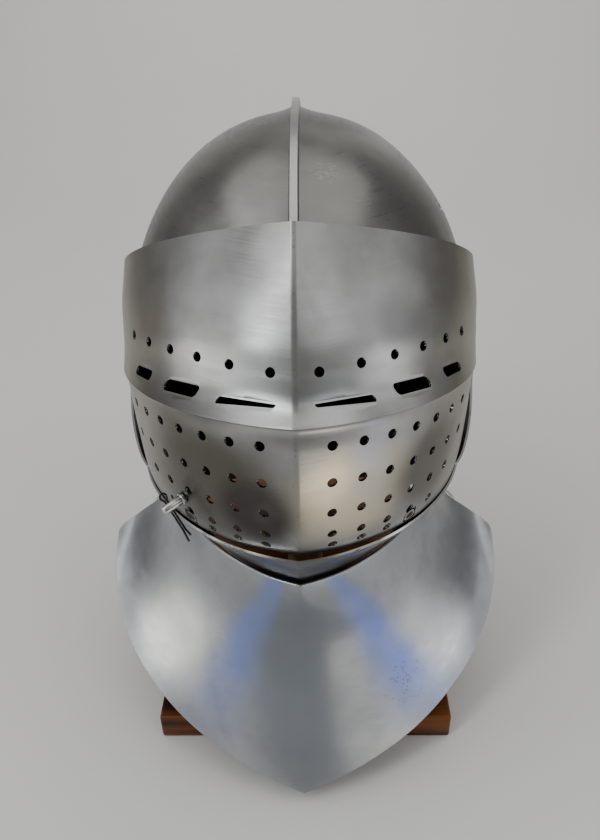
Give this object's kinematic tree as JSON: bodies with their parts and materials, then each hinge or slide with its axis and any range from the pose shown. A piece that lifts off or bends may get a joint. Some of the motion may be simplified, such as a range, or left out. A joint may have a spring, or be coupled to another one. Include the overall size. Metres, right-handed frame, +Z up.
{
  "type": "great bascinet on a plain wooden stand",
  "caption": "Steel foot-combat helmet with pierced lifting visor, bevor and flared gorget plates, on a plain board and post stand.",
  "frame": {"origin": "on the underside of the stand board, in the middle from side to side and 144 mm behind its front edge", "axes": "+Z up, the front of the helmet faces -Y, +X is the wearer's left"},
  "size_m": [0.356, 0.4229, 0.5136],
  "materials": {
    "satin_steel": "satin, finely brushed",
    "bright_steel": "bright satin",
    "black_wire": "blackened",
    "brown_wood": "varnished"
  },
  "bodies": {
    "helmet_and_stand": {"skull": "satin_steel", "bevor": "satin_steel", "front_plate": "satin_steel", "rear_plate": "satin_steel", "pivot_left": "bright_steel", "pivot_right": "bright_steel", "collar_strap_left": "satin_steel", "collar_strap_right": "satin_steel", "collar_rivet_left_front": "bright_steel", "collar_rivet_left_rear": "bright_steel", "collar_rivet_right_front": "bright_steel", "collar_rivet_right_rear": "bright_steel", "stand_board": "brown_wood", "stand_post": "brown_wood"},
    "visor": {"visor": "satin_steel", "lock_stud": "bright_steel", "lock_pin": "black_wire"}
  },
  "joints": [
    {"name": "visor_hinge", "type": "hinge", "parent": "helmet_and_stand", "child": "visor", "pos_m": [0, 0.018, 0.33], "axis": [-1, 0, 0], "range_deg": [0, 75]}
  ]
}
